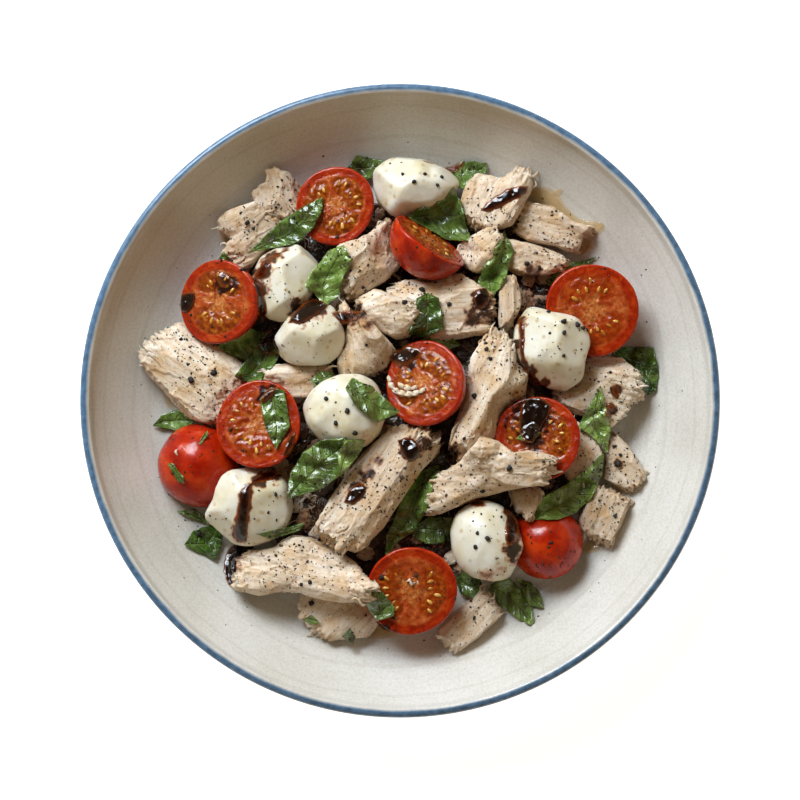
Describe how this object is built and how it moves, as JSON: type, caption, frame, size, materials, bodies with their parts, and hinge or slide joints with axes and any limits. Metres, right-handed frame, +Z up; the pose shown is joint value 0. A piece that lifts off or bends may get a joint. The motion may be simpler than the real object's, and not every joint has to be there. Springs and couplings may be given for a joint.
{
  "type": "chicken caprese salad on a plate",
  "caption": "Chicken caprese salad heaped on a coupe plate: torn poached chicken, halved cherry tomatoes, mozzarella balls and cut basil over a bed of dressed shreds",
  "frame": {"origin": "middle of the plate's foot, on the surface that it stands on", "axes": "+Z up; +Y from the plate's near edge to its far edge as pictured from above; +X to the right"},
  "size_m": [0.2298, 0.228, 0.0417],
  "materials": {
    "stoneware_glaze": "warm grey-white glaze with fine dark specks, blue band on the rim",
    "cherry_tomato": "wet red skin and a moist cut face with gel and seeds",
    "fresh_mozzarella": "moist ivory white with cracked pepper",
    "poached_chicken": "pale beige fibres, moist in places",
    "basil_leaf": "dark green satin leaf",
    "dressed_shreds": "dark brown, glossy with dressing"
  },
  "bodies": {
    "root": {"plate": "stoneware_glaze", "salad_bed": "dressed_shreds", "tomato_01": "cherry_tomato", "tomato_02": "cherry_tomato", "tomato_03": "cherry_tomato", "tomato_04": "cherry_tomato", "tomato_05": "cherry_tomato", "tomato_06": "cherry_tomato", "tomato_07": "cherry_tomato", "tomato_08": "cherry_tomato", "tomato_09": "cherry_tomato", "tomato_10": "cherry_tomato", "mozzarella_01": "fresh_mozzarella", "mozzarella_02": "fresh_mozzarella", "mozzarella_03": "fresh_mozzarella", "mozzarella_04": "fresh_mozzarella", "mozzarella_05": "fresh_mozzarella", "mozzarella_06": "fresh_mozzarella", "mozzarella_07": "fresh_mozzarella", "chicken_01": "poached_chicken", "chicken_02": "poached_chicken", "chicken_03": "poached_chicken", "chicken_04": "poached_chicken", "chicken_05": "poached_chicken", "chicken_06": "poached_chicken", "chicken_07": "poached_chicken", "chicken_08": "poached_chicken", "chicken_09": "poached_chicken", "chicken_10": "poached_chicken", "chicken_11": "poached_chicken", "chicken_12": "poached_chicken", "chicken_13": "poached_chicken", "chicken_14": "poached_chicken", "chicken_15": "poached_chicken", "chicken_16": "poached_chicken", "chicken_17": "poached_chicken", "chicken_18": "poached_chicken", "chicken_19": "poached_chicken", "chicken_20": "poached_chicken", "chicken_21": "poached_chicken", "chicken_22": "poached_chicken", "chicken_23": "poached_chicken", "chicken_24": "poached_chicken", "basil_01": "basil_leaf", "basil_02": "basil_leaf", "basil_03": "basil_leaf", "basil_04": "basil_leaf", "basil_05": "basil_leaf", "basil_06": "basil_leaf", "basil_07": "basil_leaf", "basil_08": "basil_leaf", "basil_09": "basil_leaf", "basil_10": "basil_leaf", "basil_11": "basil_leaf", "basil_12": "basil_leaf", "basil_13": "basil_leaf", "basil_14": "basil_leaf", "basil_15": "basil_leaf", "basil_16": "basil_leaf"}
  },
  "joints": []
}
